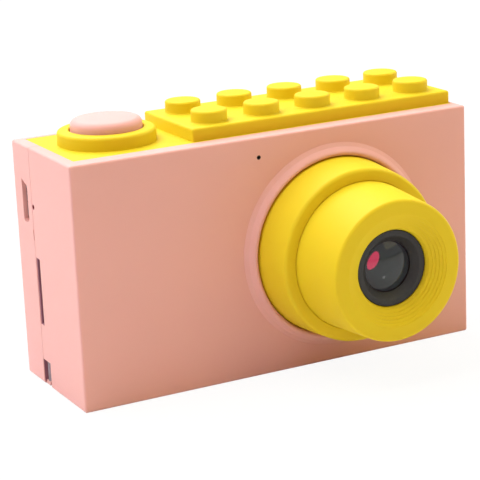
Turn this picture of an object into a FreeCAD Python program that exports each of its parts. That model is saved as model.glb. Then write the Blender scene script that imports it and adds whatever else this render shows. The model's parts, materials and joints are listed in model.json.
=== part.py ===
import FreeCAD, Part
import math
import os
import re
import Sketcher

from FreeCAD import Placement, Rotation, Vector

# Kids digital camera with a brick-plate top, as a parametric document in millimetres.
# Origin: centre of the underside of the body. +X to the viewer's right when facing the lens,
# +Y towards the back, +Z up. The lens looks along -Y.
# Every size is a cell of the sheet "Dims". Expressions below are written in the cells' names.

DIMS = [
    # body and its two shells
    ("body_w", 80.0), ("body_d", 27.0), ("body_tall", 44.2), ("wall", 1.8), ("seam_y", 5.3),
    ("rear_round", 0.5), ("edge_round", 0.4), ("lip_thick", 0.8), ("lip_deep", 1.5),
    ("lip_gap", 0.1), ("lip_top", 40.0), ("ledge_thick", 1.0), ("groove_deep", 0.14),
    ("groove_half", 0.07), ("pry_low", 27.1), ("pry_top", 29.1),
    # top panel, brick plate and studs
    ("panel_left", -37.8), ("panel_right", 39.2), ("panel_front", -10.14), ("panel_back", 12.1),
    ("panel_thick", 1.4), ("panel_gap", 0.08), ("plate_left", -14.8), ("plate_front", -9.66),
    ("plate_back", 10.6), ("plate_tall", 2.36), ("plate_round", 0.5), ("core_wall", 1.5),
    ("stud_radius", 3.28), ("stud_tall", 2.18), ("stud_pitch", 10.63), ("stud_left", -9.07),
    ("stud_front", -4.83), ("stud_round", 0.4), ("stud_core", 1.9), ("peg_radius", 1.0),
    ("peg_down", 1.6),
    # shutter button and its switch
    ("shutter_x", -26.5), ("shutter_y", 1.2), ("collar_radius", 8.85), ("collar_tall", 2.58),
    ("collar_edge", 2.38), ("collar_bore", 6.68), ("collar_round", 0.5), ("flange_room", 7.9),
    ("flange_room_top", 45.0), ("button_radius", 6.44), ("button_stand", 1.82), ("button_round", 1.0),
    ("button_skin", 1.4), ("button_flange", 7.5), ("button_flange_low", 43.9),
    ("button_flange_thick", 0.8), ("stem_radius", 2.0), ("stem_low", 40.4), ("stem_hole", 2.4),
    ("plunger_radius", 1.7), ("plunger_low", 37.0), ("plunger_bore", 1.85), ("switch_w", 6.0),
    ("switch_top", 37.9), ("switch_tall", 3.5), ("switch_front", -1.9), ("switch_floor", 35.6),
    # lens unit: distances forward of the middle plane are named _at
    ("lens_x", 11.3), ("lens_z", 22.1), ("lens_hole", 16.64), ("flare_out", 19.0),
    ("flare_in", 17.4), ("flare_at", 14.6), ("flare_dip", 0.55), ("outer_base", 16.6),
    ("outer_front", 15.9), ("outer_at", 22.9), ("outer_bore", 13.66), ("barrel_flange", 18.2),
    ("barrel_rear_at", 10.0), ("barrel_flange_at", 11.6), ("outer_round", 0.7),
    ("inner_flange", 15.6), ("inner_room", 15.8), ("inner_flange_at", 12.0),
    ("inner_base", 13.6), ("inner_front", 12.7), ("inner_at", 34.9), ("inner_bore", 11.4),
    ("inner_round", 0.6), ("lip_radius", 10.0), ("step_wide", 0.54), ("step_deep", 0.32),
    ("step_rise", 0.12), ("funnel_radius", 6.95), ("funnel_at", 32.7), ("funnel_back_at", 31.0),
    ("post_ring", 9.8), ("post_radius", 1.5), ("clamp_out", 18.8), ("clamp_in", 11.6),
    ("clamp_at", 8.6), ("ear_across", 15.63), ("ear_up", 13.11), ("ear_radius", 2.4),
    ("head_radius", 6.85), ("head_at", 32.6), ("head_rear_at", 29.6), ("thread_radius", 6.0),
    ("thread_rear_at", 17.5), ("lens_bore", 4.6), ("glass_radius", 4.52), ("glass_curve", 12.0),
    ("glass_top_at", 31.9), ("glass_seat_at", 28.0), ("shelf_radius", 3.6),
    ("shelf_rear_at", 27.4), ("stop_radius", 1.6), ("stop_rear_at", 26.4),
    ("rear_glass_at", 22.0), ("rear_glass_rear_at", 19.4), ("holder_radius", 7.3),
    ("holder_bore", 6.05), ("holder_at", 26.0), ("holder_half", 6.2), ("holder_base_at", 17.0),
    ("sensor_half", 3.6), ("sensor_tall", 1.0), ("filter_half", 4.05), ("filter_at", 15.2),
    ("filter_thick", 0.4), ("sboard_radius", 11.0), ("sboard_at", 13.2), ("sboard_thick", 1.2),
    # boards, sockets and the other electronics
    ("board_left", -37.9), ("board_right", 37.6), ("board_low", 7.0), ("board_top", 37.9),
    ("board_front", 5.4), ("board_thick", 1.6), ("socket_tall", 1.85), ("socket_low", 10.2),
    ("socket_top", 25.3), ("socket_right", -23.6), ("slot_front", 3.5), ("slot_back", 5.2),
    ("slot_low", 11.5), ("slot_top", 24.0), ("usb_front", 7.2), ("usb_back", 9.7),
    ("usb_low", 29.9), ("usb_top", 37.8), ("usb_inset", 0.22), ("usb_skin", 0.3),
    ("usb_mouth", -39.3), ("usb_rear", -34.2), ("light_y", 4.74), ("light_z", 33.4),
    ("light_hole", 0.5), ("mic_x", -3.9), ("mic_hole_z", 40.6), ("mic_hole", 0.4),
    ("mic_z", 39.6), ("mic_radius", 2.1), ("mic_long", 1.6), ("cell_left", -8.0),
    ("cell_right", 32.0), ("cell_front", -1.1), ("cell_back", 3.9), ("cell_low", 6.0),
    ("cell_top", 36.0), ("cell_round", 1.2), ("wire_radius", 0.45), ("mic_wire_radius", 0.3),
    ("flex_thick", 0.2), ("link_left", -19.0), ("link_right", -15.6), ("link_low", 17.6),
    ("link_top", 26.6), ("link_tall", 1.2), ("plug_left", -17.5), ("plug_right", -11.5),
    ("plug_low", 28.6), ("plug_top", 32.6), ("plug_tall", 3.0),
    # back: display, keys, speaker
    ("screen_x", 9.0), ("screen_z", 22.1), ("screen_w", 47.0), ("screen_tall", 36.0),
    ("screen_front", 9.3), ("screen_back", 11.6), ("window_w", 46.0), ("window_thick", 0.95),
    ("window_room", 1.0), ("window_gap", 0.1), ("view_w", 41.4), ("view_tall", 31.2),
    ("key_x", -27.5), ("key_z", 23.4), ("key_pitch", 6.8), ("key_radius", 2.6),
    ("key_hole", 2.85), ("key_stand", 0.6), ("key_flange", 3.2), ("key_flange_back", 11.55),
    ("key_flange_thick", 0.8), ("key_stem", 1.4), ("key_stem_low", 9.5), ("key_round", 0.35),
    ("keyswitch_w", 4.5), ("keyswitch_tall", 1.5), ("key_plunger", 1.1), ("key_plunger_low", 8.1),
    ("key_plunger_bore", 1.25), ("speaker_left", -30.2), ("speaker_right", -16.2),
    ("speaker_low", 2.3), ("speaker_top", 12.3), ("speaker_front", 8.4), ("speaker_back", 11.6),
    ("grille_hole", 0.6), ("grille_pitch", 2.2),
    # lanyard notch
    ("notch_right", -36.2), ("notch_front", 2.0), ("notch_back", 5.5), ("notch_top", 4.8),
    ("notch_wall", 1.2), ("strap_x", -39.1), ("strap_y", 4.3), ("strap_radius", 0.5),
    ("strap_top", 6.6), ("bump_radius", 1.25), ("bump_y", 2.4), ("bump_z", 2.25),
    # screws and posts
    ("case_post", 2.4), ("case_tube", 2.6), ("case_seat", 9.0), ("case_well", 2.05),
    ("board_post", 2.2), ("ring_post", 2.0), ("fit_gap", 0.02), ("pass_gap", 0.15),
    ("case_screw", 1.0), ("case_shank", 10.0), ("board_screw", 1.0), ("board_shank", 7.0),
    ("ring_screw", 0.85), ("ring_shank", 4.0), ("sensor_screw", 0.7), ("sensor_shank", 4.0),
    ("pilot_room", 0.4),
]

CASE_SCREWS = [(-35.6, 40.35), (35.6, 40.35), (-33.0, 4.6), (35.6, 4.2)]
BOARD_SCREWS = [(-12.5, 9.5), (-12.5, 36.0), (35.3, 11.0), (35.3, 33.0)]
PEGS = [(-17.5, -7.5), (-17.5, 9.0), (30.0, -7.0), (30.0, 8.5)]
KEYS = {
    "key_power": (0, 2), "key_up": (0, 1), "key_ok": (0, 0), "key_down": (0, -1),
    "key_left": (-1, 0), "key_right": (1, 0),
}
TURNS = {
    "x": Rotation(Vector(0, 1, 0), 90),
    "y": Rotation(Vector(1, 0, 0), -90),
    "z": Rotation(),
    "forward": Rotation(Vector(1, 0, 0), 90),
}
# Which coordinate each of a rod's two middle values is, by the rod's axis.
MIDDLES = {"x": "yz", "y": "xz", "z": "xy"}

doc = FreeCAD.newDocument("KidsCamera")
sheet = doc.addObject("Spreadsheet::Sheet", "Dims")
for row, (alias, number) in enumerate(DIMS, 1):
    sheet.set(f"A{row}", alias.replace("_", " "))
    sheet.set(f"B{row}", str(number))
    sheet.setAlias(f"B{row}", alias)
doc.recompute()

nodes = []


# ---------------------------------------------------------------- helpers
def bind(text):
    """Turn an expression in cell names into one that FreeCAD reads from the sheet."""
    return re.sub(r"[a-z][a-z_0-9]*", lambda found: "Dims." + found.group(0), str(text))


def value(text):
    """The number an expression in cell names stands for now."""
    return float(sheet.evalExpression(bind(text)))


def new(kind, label):
    obj = doc.addObject(kind, label)
    obj.Label = label
    return obj


def node(obj):
    """Mark an object as a sub-part that gets its own STEP file."""
    nodes.append(obj)
    return obj


def box(label, x, y, z):
    obj = new("Part::Box", label)
    for axis, size, (low, high) in zip("xyz", ("Length", "Width", "Height"), (x, y, z)):
        obj.setExpression(size, f"({bind(high)}) - ({bind(low)})")
        obj.setExpression(f"Placement.Base.{axis}", bind(low))
    return obj


def rod(label, axis, middle, span, radius):
    """A cylinder along an axis: its two middle coordinates, its two ends and its radius."""
    obj = new("Part::Cylinder", label)
    obj.Placement = Placement(Vector(), TURNS[axis])
    obj.setExpression("Radius", bind(radius))
    obj.setExpression("Height", f"({bind(span[1])}) - ({bind(span[0])})")
    obj.setExpression(f"Placement.Base.{axis}", bind(span[0]))
    for letter, where in zip(MIDDLES[axis], middle):
        obj.setExpression(f"Placement.Base.{letter}", bind(where))
    return obj


def fuse(label, parts):
    obj = new("Part::MultiFuse", label)
    obj.Shapes = parts
    return obj


def cut(label, base, tools):
    obj = new("Part::Cut", label)
    obj.Base = base
    obj.Tool = tools[0] if len(tools) == 1 else fuse(label + "_tools", tools)
    return obj


def common(label, first, second):
    obj = new("Part::Common", label)
    obj.Base = first
    obj.Tool = second
    return obj


def group(label, parts):
    obj = new("Part::Compound", label)
    obj.Links = parts
    return obj


def outline(body, role, points):
    """A closed sketch through points on one of the body's origin planes, each point bound."""
    plane = [item for item in body.Origin.OriginFeatures if item.Role == role][0]
    sketch = body.newObject("Sketcher::SketchObject", body.Label + "_sketch")
    sketch.AttachmentSupport = (plane, [""])
    sketch.MapMode = "FlatFace"
    places = [Vector(value(across), value(up), 0) for across, up in points]
    for index, place in enumerate(places):
        sketch.addGeometry(Part.LineSegment(place, places[(index + 1) % len(places)]), False)
    for index in range(len(places)):
        sketch.addConstraint(Sketcher.Constraint("Coincident", index, 2, (index + 1) % len(places), 1))
    for index, (across, up) in enumerate(points):
        for kind, text, now in (("X", across, places[index].x), ("Y", up, places[index].y)):
            made = sketch.addConstraint(Sketcher.Constraint("Distance" + kind, -1, 1, index, 1, now))
            sketch.renameConstraint(made, f"{kind.lower()}_{index}")
            sketch.setExpression(f"Constraints.{kind.lower()}_{index}", bind(text))
    return sketch


def soften(body, feature, radius, picks):
    """Round the edges of a feature that a test picks."""
    doc.recompute()
    names = [f"Edge{index}" for index, edge in enumerate(feature.Shape.Edges, 1) if picks(edge)]
    fillet = body.newObject("PartDesign::Fillet", body.Label + "_round")
    fillet.Base = (feature, names)
    fillet.setExpression("Radius", bind(radius))
    return fillet


def rim(radius, along):
    """A test for the circular edge of a revolved body at a radius and a distance along its axis."""
    wanted_radius = value(radius)
    wanted_along = value(along)

    def picks(edge):
        if not isinstance(edge.Curve, Part.Circle):
            return False
        near = abs(edge.Curve.Radius - wanted_radius) < 1e-4
        return near and abs(edge.Curve.Center.z - wanted_along) < 1e-4

    return picks


def turned(label, place, turn, points, rounds=()):
    """A body revolved about its own Z: points are (radius, along), rounds (size, radius, along)."""
    body = new("PartDesign::Body", label)
    sketch = outline(body, "XZ_Plane", points)
    feature = body.newObject("PartDesign::Revolution", label + "_turn")
    feature.Profile = sketch
    feature.ReferenceAxis = (sketch, ["V_Axis"])
    feature.Angle = 360
    for size, radius, along in rounds:
        feature = soften(body, feature, size, rim(radius, along))
    body.Placement = Placement(Vector(), TURNS[turn])
    for axis, where in zip("xyz", place):
        body.setExpression(f"Placement.Base.{axis}", bind(where))
    return body


def tube(radius_out, radius_in, low, high):
    """Outline of a plain ring for turned()."""
    return [(radius_in, low), (radius_out, low), (radius_out, high), (radius_in, high)]


def padded(label, role, points, place, length):
    """A body padded from a closed outline on an origin plane."""
    body = new("PartDesign::Body", label)
    pad = body.newObject("PartDesign::Pad", label + "_pad")
    pad.Profile = outline(body, role, points)
    pad.setExpression("Length", bind(length))
    for axis, where in zip("xyz", place):
        body.setExpression(f"Placement.Base.{axis}", bind(where))
    return body


def screws(label, spots, seat, head, shank):
    """Pan-head screws driven towards -Y: head and shank are (radius, length), the shank in cells."""
    made = []
    for number, (x, z) in enumerate(spots, 1):
        name = f"{label}_{number}"
        top = f"{seat} + {head[1]}"
        whole = fuse(name + "_blank", [
            rod(name + "_head", "y", (x, z), (seat, top), head[0]),
            rod(name + "_shank", "y", (x, z), (f"{seat} - {shank[1]}", f"{seat} + 0.2"), shank[0]),
        ])
        arm = head[0] * 0.62
        deep = (f"{top} - {head[1] * 0.55}", f"{top} + 0.1")
        slots = [
            box(name + "_slot_across", (f"{x} - {arm}", f"{x} + {arm}"), deep,
                (f"{z} - {head[0] * 0.13}", f"{z} + {head[0] * 0.13}")),
            box(name + "_slot_up", (f"{x} - {head[0] * 0.13}", f"{x} + {head[0] * 0.13}"), deep,
                (f"{z} - {arm}", f"{z} + {arm}")),
        ]
        made.append(cut(name, whole, slots))
    return node(group(label, made))


def rounded_path(points, radius):
    """A wire through points with every inner corner rounded to a radius."""
    edges = []
    start = points[0]
    for before, corner, after in zip(points, points[1:], points[2:]):
        back = (before - corner).normalize()
        ahead = (after - corner).normalize()
        half = back.getAngle(ahead) / 2
        reach = radius / math.tan(half)
        first = corner + back * reach
        last = corner + ahead * reach
        centre = corner + (back + ahead).normalize() * (radius / math.sin(half))
        middle = centre + (corner - centre).normalize() * radius
        edges.append(Part.LineSegment(start, first).toShape())
        edges.append(Part.Arc(first, middle, last).toShape())
        start = last
    edges.append(Part.LineSegment(start, points[-1]).toShape())
    return Part.Wire(edges)


def swept(label, path, profile):
    obj = new("Part::Feature", label)
    obj.Shape = path.makePipeShell([profile], True, True)
    obj.Placement = Placement()
    return obj


def wire(label, points, radius, bend):
    """A round lead swept along a path with rounded corners."""
    way = (points[1] - points[0]).normalize()
    ring = Part.Wire(Part.makeCircle(value(radius), points[0], way))
    return swept(label, rounded_path(points, bend), ring)


def ribbon(label, points, across, bend):
    """A flat cable: its middle path, the vector over its width and the corner radius."""
    way = (points[1] - points[0]).normalize()
    thick = way.cross(across).normalize() * (value("flex_thick") / 2)
    start = points[0]
    corners = [start - thick, start + thick, start + thick + across, start - thick + across]
    profile = Part.makePolygon(corners + corners[:1])
    return swept(label, rounded_path(points, bend), profile)


def lens_spots(ring, degrees):
    """Places (x, z) on a ring about the lens axis."""
    return [
        (f"lens_x + {ring} * {math.cos(math.radians(turn)):.6f}",
         f"lens_z + {ring} * {math.sin(math.radians(turn)):.6f}")
        for turn in degrees
    ]


EARS = [(f"lens_x + {side} * ear_across", f"lens_z + {up} * ear_up")
        for side in (-1, 1) for up in (-1, 1)]
SENSOR_SCREWS = lens_spots("post_ring", (90, 210, 330))
LENS = ("lens_x", "0", "lens_z")


# ---------------------------------------------------------------- case
def case_form():
    """The outer form of both shells, rounded."""
    label = "case_form"
    body = new("PartDesign::Body", label)
    half = ("body_w / 2", "body_d / 2")
    corners = [(f"{a}{half[0]}", f"{b}{half[1]}")
               for a, b in (("-", "-"), ("", "-"), ("", ""), ("-", ""))]
    pad = body.newObject("PartDesign::Pad", label + "_pad")
    pad.Profile = outline(body, "XY_Plane", corners)
    pad.setExpression("Length", "Dims.body_tall")

    def upright(sign):
        return lambda edge: (abs(edge.Vertexes[0].X - edge.Vertexes[1].X) < 1e-6
                             and abs(edge.Vertexes[0].Y - edge.Vertexes[1].Y) < 1e-6
                             and edge.Vertexes[0].Y * sign > 0)

    feature = soften(body, pad, "rear_round", upright(1))
    feature = soften(body, feature, "edge_round", upright(-1))
    level = value("body_tall")
    soften(body, feature, "edge_round",
           lambda edge: edge.BoundBox.ZLength < 1e-6
           and min(edge.BoundBox.ZMin, level - edge.BoundBox.ZMax) < 1e-6)
    return body


def side_openings(label):
    """Tools for the openings of the left side, shared by both shells."""
    left = "-body_w / 2 - 1"
    inner = "wall - body_w / 2 + 0.6"
    usb = padded(label + "_usb", "YZ_Plane", [
        ("usb_front", "usb_low + 0.6"), ("usb_front + 0.7", "usb_low"), ("usb_back - 0.4", "usb_low"),
        ("usb_back", "usb_low + 0.4"), ("usb_back", "usb_top"), ("usb_back - 0.1", "usb_top"),
        ("usb_front", "usb_top - 1"),
    ], (left, "0", "0"), "wall + 2")
    return [
        usb,
        box(label + "_slot", (left, inner), ("slot_front", "slot_back"), ("slot_low", "slot_top")),
        rod(label + "_light", "x", ("light_y", "light_z"), (left, inner), "light_hole"),
        box(label + "_notch", (left, "notch_right"), ("notch_front", "notch_back"),
            ("-1", "notch_top")),
        rod(label + "_strap", "z", ("strap_x", "strap_y"), ("0.2", "strap_top"),
            "strap_radius + fit_gap"),
    ]


def recess(label):
    """The shallow room for the top panel."""
    return box(label, ("panel_left", "panel_right"), ("panel_front", "panel_back"),
               ("body_tall - panel_thick", "body_tall + 1"))


def seam_groove(label, span):
    """The parting line: a frame round the outside, cut from one shell's edge."""
    across = "body_w / 2"
    outer = box(label + "_outer", (f"-{across} - 1", f"{across} + 1"), span, ("-1", "body_tall + 1"))
    inner = box(label + "_inner", (f"groove_deep - {across}", f"{across} - groove_deep"),
                (f"{span[0]} - 1", f"{span[1]} + 1"), ("groove_deep", "body_tall - groove_deep"))
    return cut(label, outer, [inner])


def peg_holes(label):
    return [rod(f"{label}_peg_{number}", "z", spot,
                ("body_tall - panel_thick - ledge_thick - 1", "body_tall"), "peg_radius + 0.1")
            for number, spot in enumerate(PEGS, 1)]


def cavity(label, front, back):
    return box(label, ("wall - body_w / 2", "body_w / 2 - wall"), (front, back),
               ("wall", "body_tall - panel_thick - ledge_thick"))


def front_shell(form):
    label = "front_shell"
    front = "-body_d / 2"
    inside = "wall - body_d / 2"
    half = common(label + "_half", form,
                  box(label + "_side", ("-body_w", "body_w"), ("-body_d", "seam_y"),
                      ("-1", "body_tall + 1")))
    rebate = "body_w / 2 - wall + lip_thick + lip_gap"
    hollow = cut(label + "_hollow", half, [
        cavity(label + "_cavity", inside, "seam_y + 1"),
        box(label + "_rebate", (f"-({rebate})", rebate),
            ("seam_y - lip_deep - lip_gap", "seam_y + 1"),
            ("wall - lip_thick - lip_gap", "lip_top + lip_gap")),
    ])
    flare = turned(label + "_flare", LENS, "forward", [
        ("lens_hole", "body_d / 2 - 0.5"), ("flare_out", "body_d / 2 - 0.5"),
        ("flare_out", "body_d / 2 + 0.05"), ("flare_in", "flare_at"),
        ("lens_hole", "flare_at - flare_dip"),
    ], [("0.25", "flare_in", "flare_at")])
    posts = [rod(f"{label}_case_post_{number}", "y", spot, (f"{inside} - 0.5", "seam_y - 0.05"),
                 "case_post") for number, spot in enumerate(CASE_SCREWS, 1)]
    posts += [rod(f"{label}_board_post_{number}", "y", spot, (f"{inside} - 0.5", "board_front"),
                  "board_post") for number, spot in enumerate(BOARD_SCREWS, 1)]
    posts += [rod(f"{label}_ring_post_{number}", "y", spot, (f"{inside} - 0.5", "-barrel_rear_at"),
                  "ring_post") for number, spot in enumerate(EARS, 1)]
    pocket = box(label + "_pocket", ("wall - body_w / 2 - 0.3", "notch_right + notch_wall"),
                 ("notch_front - notch_wall", "seam_y"), ("wall - 0.3", "notch_top + notch_wall"))
    lip_span = ("seam_y - lip_deep - lip_gap", "seam_y + 1")
    pocket_rooms = [
        box(label + "_pocket_side", ("-body_w", "wall - body_w / 2 + 0.02"), lip_span,
            ("-1", "lip_top")),
        box(label + "_pocket_floor", ("-body_w", "0"), lip_span, ("-1", "wall + 0.02")),
    ]
    bump = rod(label + "_bump", "x", ("bump_y", "bump_z"),
               ("-body_w / 2 + 0.7", "notch_right + 0.2"), "bump_radius")
    foot = box(label + "_foot", ("-body_w / 2 + 0.35", "notch_right + 0.2"),
               ("strap_y - 0.7", "seam_y"), ("0", "0.7"))
    holes = side_openings(label) + [
        recess(label + "_recess"),
        seam_groove(label + "_groove", ("seam_y - groove_half", "seam_y + 1")),
        rod(label + "_lens_hole", "y", ("lens_x", "lens_z"), (f"{front} - 2", f"{inside} + 0.1"),
            "lens_hole"),
        rod(label + "_mic_hole", "y", ("mic_x", "mic_hole_z"), (f"{front} - 1", f"{inside} + 0.1"),
            "mic_hole"),
        rod(label + "_stem_hole", "z", ("shutter_x", "shutter_y"),
            ("body_tall - panel_thick - ledge_thick - 1", "body_tall"), "stem_hole"),
    ]
    holes += peg_holes(label)
    pilots = [
        ("case", CASE_SCREWS, "case_seat - case_shank - pilot_room"),
        ("board", BOARD_SCREWS, "board_front + board_thick - board_shank - pilot_room"),
        ("ring", EARS, "-clamp_at - ring_shank - pilot_room / 2"),
    ]
    for name, spots, low in pilots:
        holes += [rod(f"{label}_{name}_pilot_{number}", "y", spot, (low, "seam_y + 1"),
                      f"{name}_screw + fit_gap") for number, spot in enumerate(spots, 1)]
    pocket_wall = cut(label + "_pocket_wall", pocket, pocket_rooms)
    solid = fuse(label + "_solid", [hollow, flare, pocket_wall] + posts)
    opened = cut(label + "_open", solid, holes)
    foot_pin = cut(label + "_foot_open", foot, [
        rod(label + "_foot_hole", "z", ("strap_x", "strap_y"), ("0.2", "1"),
            "strap_radius + fit_gap")])
    return node(fuse(label, [opened, bump, foot_pin]))


def rear_shell(form):
    label = "rear_shell"
    back = "body_d / 2"
    inside = "body_d / 2 - wall"
    half = common(label + "_half", form,
                  box(label + "_side", ("-body_w", "body_w"), ("seam_y", "body_d"),
                      ("-1", "body_tall + 1")))
    hollow = cut(label + "_hollow", half, [cavity(label + "_cavity", "seam_y - 1", inside)])
    reach = "body_w / 2 - wall + lip_thick"
    lip = cut(label + "_lip", box(
        label + "_lip_block", (f"-({reach})", reach), ("seam_y - lip_deep", "seam_y + 0.6"),
        ("wall - lip_thick", "lip_top")), [
            box(label + "_lip_room", ("wall - body_w / 2", "body_w / 2 - wall"),
                ("seam_y - lip_deep - 1", "seam_y + 1"), ("wall", "body_tall"))])
    tubes = [rod(f"{label}_tube_{number}", "y", spot, ("seam_y + 0.02", f"{inside} + 0.5"),
                 "case_tube") for number, spot in enumerate(CASE_SCREWS, 1)]
    ribs = [box(f"{label}_rib_{number}", (x, f"{x} + 1"), ("screen_front - 0.4", f"{inside} + 0.3"),
                ("8", "36")) for number, x in
            enumerate(("screen_x - screen_w / 2 - 1.1", "screen_x + screen_w / 2 + 0.1"), 1)]
    pocket = box(label + "_pocket", ("wall - body_w / 2 - 0.3", "notch_right + notch_wall"),
                 ("seam_y", "notch_back + 1"), ("wall - 0.3", "notch_top + notch_wall"))
    holes = side_openings(label) + [recess(label + "_recess")]
    holes.append(seam_groove(label + "_groove", ("seam_y - 1", "seam_y + groove_half")))
    holes += peg_holes(label)
    holes.append(box(label + "_pry_mark", ("-body_w / 2 - 1", "-body_w / 2 + 0.5"),
                     ("seam_y - 0.1", "seam_y + 0.3"), ("pry_low", "pry_top")))
    holes.append(box(label + "_window_room", ("screen_x - window_w / 2", "screen_x + window_w / 2"),
                     (f"{back} - window_room", f"{back} + 1"),
                     ("screen_z - screen_tall / 2", "screen_z + screen_tall / 2")))
    holes.append(box(label + "_view", ("screen_x - view_w / 2", "screen_x + view_w / 2"),
                     (f"{inside} - 1", f"{back} + 1"),
                     ("screen_z - view_tall / 2", "screen_z + view_tall / 2")))
    for name, spot in key_spots().items():
        holes.append(rod(f"{label}_{name}_hole", "y", spot, (f"{inside} - 0.5", f"{back} + 1"),
                         "key_hole"))
    holes += grille(label)
    for number, spot in enumerate(CASE_SCREWS, 1):
        holes.append(rod(f"{label}_pass_{number}", "y", spot, ("seam_y - 1", f"{back} + 1"),
                         "case_screw + pass_gap"))
        holes.append(rod(f"{label}_well_{number}", "y", spot, ("case_seat", f"{back} + 1"),
                         "case_well"))
    solid = fuse(label + "_solid", [hollow, lip, pocket] + tubes + ribs)
    return node(cut(label, solid, holes))


def key_spots():
    """Middle (x, z) of every rear key."""
    return {name: (f"key_x + {across} * key_pitch", f"key_z + {up} * key_pitch")
            for name, (across, up) in KEYS.items()}


def grille(label):
    """Seven small sound holes over the speaker: one in the middle of six."""
    middle = ("(speaker_left + speaker_right) / 2", "(speaker_low + speaker_top) / 2")
    spots = [middle] + [
        (f"{middle[0]} + grille_pitch * {math.cos(math.radians(60 * turn)):.6f}",
         f"{middle[1]} + grille_pitch * {math.sin(math.radians(60 * turn)):.6f}") for turn in range(6)]
    return [rod(f"{label}_grille_{number}", "y", spot, ("body_d / 2 - wall - 0.1", "body_d / 2 + 1"),
                "grille_hole") for number, spot in enumerate(spots, 1)]


def top_panel():
    label = "top_panel"
    low = "body_tall - panel_thick"
    top = "body_tall + plate_tall"
    x = ("panel_left + panel_gap", "panel_right - panel_gap")
    base = box(label + "_base", x, ("panel_front + panel_gap", "panel_back - panel_gap"),
               (low, "body_tall"))
    corners = [("plate_left", "plate_front"), (x[1], "plate_front"), (x[1], "plate_back"),
               ("plate_left", "plate_back")]
    plate = padded(label + "_plate", "XY_Plane", corners, ("0", "0", "body_tall - 0.4"), "plate_tall + 0.4")
    level = value("plate_tall + 0.4")
    soften(plate, plate.Tip, "plate_round", lambda edge: edge.BoundBox.ZMin > level - 1e-4)
    collar = turned(label + "_collar", ("shutter_x", "shutter_y", "body_tall"), "z",
                    [("collar_bore", "-0.4"), ("collar_radius", "-0.4"),
                     ("collar_radius", "collar_edge"), ("collar_bore", "collar_tall")],
                    [("collar_round", "collar_radius", "collar_edge"), ("0.2", "collar_bore", "collar_tall")])
    studs = []
    cores = []
    for column in range(5):
        for line in range(2):
            name = f"{label}_stud_{column}_{line}"
            place = (f"stud_left + {column} * stud_pitch", f"stud_front + {line} * stud_pitch")
            studs.append(turned(name, place + (top,), "z", [
                ("0", "-0.4"), ("stud_radius", "-0.4"), ("stud_radius", "stud_tall"), ("0", "stud_tall")],
                [("stud_round", "stud_radius", "stud_tall")]))
            cores.append(rod(name + "_core", "z", place, (f"{low} - 1", f"{top} + stud_tall - core_wall"),
                             "stud_core"))
    core = box(label + "_core", ("plate_left + core_wall", f"{x[1]} - core_wall"),
               ("plate_front + core_wall", "plate_back - core_wall"), (f"{low} - 1", f"{top} - core_wall"))
    bore = rod(label + "_bore", "z", ("shutter_x", "shutter_y"), (f"{low} - 1", "body_tall + 5"),
               "collar_bore")
    room = rod(label + "_flange_room", "z", ("shutter_x", "shutter_y"), (f"{low} - 1", "flange_room_top"),
               "flange_room")
    blank = fuse(label + "_blank", [base, plate, collar] + studs)
    cored = cut(label + "_cored", blank, [core, bore, room] + cores)
    pegs = [rod(f"{label}_peg_{number}", "z", spot, (f"{low} - peg_down",
                "body_tall - 0.2" if spot[0] < 0 else f"{top} - core_wall + 0.3"), "peg_radius")
            for number, spot in enumerate(PEGS, 1)]
    return node(fuse(label, [cored] + pegs))


def case_hardware():
    screws("case_screws", CASE_SCREWS, "case_seat", (1.8, 1.2), ("case_screw", "case_shank"))
    node(rod("strap_pin", "z", ("strap_x", "strap_y"), ("0.25", "strap_top - 0.05"), "strap_radius"))


# ---------------------------------------------------------------- shutter button
def shutter():
    middle = ("shutter_x", "shutter_y")
    top = "body_tall + collar_tall + button_stand"
    flange_top = "button_flange_low + button_flange_thick"
    roof = f"{top} - button_skin"
    node(turned("shutter_button", middle + ("0",), "z", [
        ("0", "stem_low"), ("stem_radius", "stem_low"), ("stem_radius", roof),
        ("button_radius - button_skin", roof), ("button_radius - button_skin", "button_flange_low"),
        ("button_flange", "button_flange_low"), ("button_flange", flange_top),
        ("button_radius", flange_top), ("button_radius", top), ("0", top),
    ], [("button_round", "button_radius", top)]))
    node(rod("shutter_switch_plunger", "z", middle, ("plunger_low", "stem_low"), "plunger_radius"))
    block = box("shutter_switch_block", ("shutter_x - switch_w / 2", "shutter_x + switch_w / 2"),
                ("switch_front", "board_front"), ("switch_top - switch_tall", "switch_top"))
    node(cut("shutter_switch_body", block, [
        rod("shutter_switch_bore", "z", middle, ("switch_floor", "switch_top + 1"), "plunger_bore")]))


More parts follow.
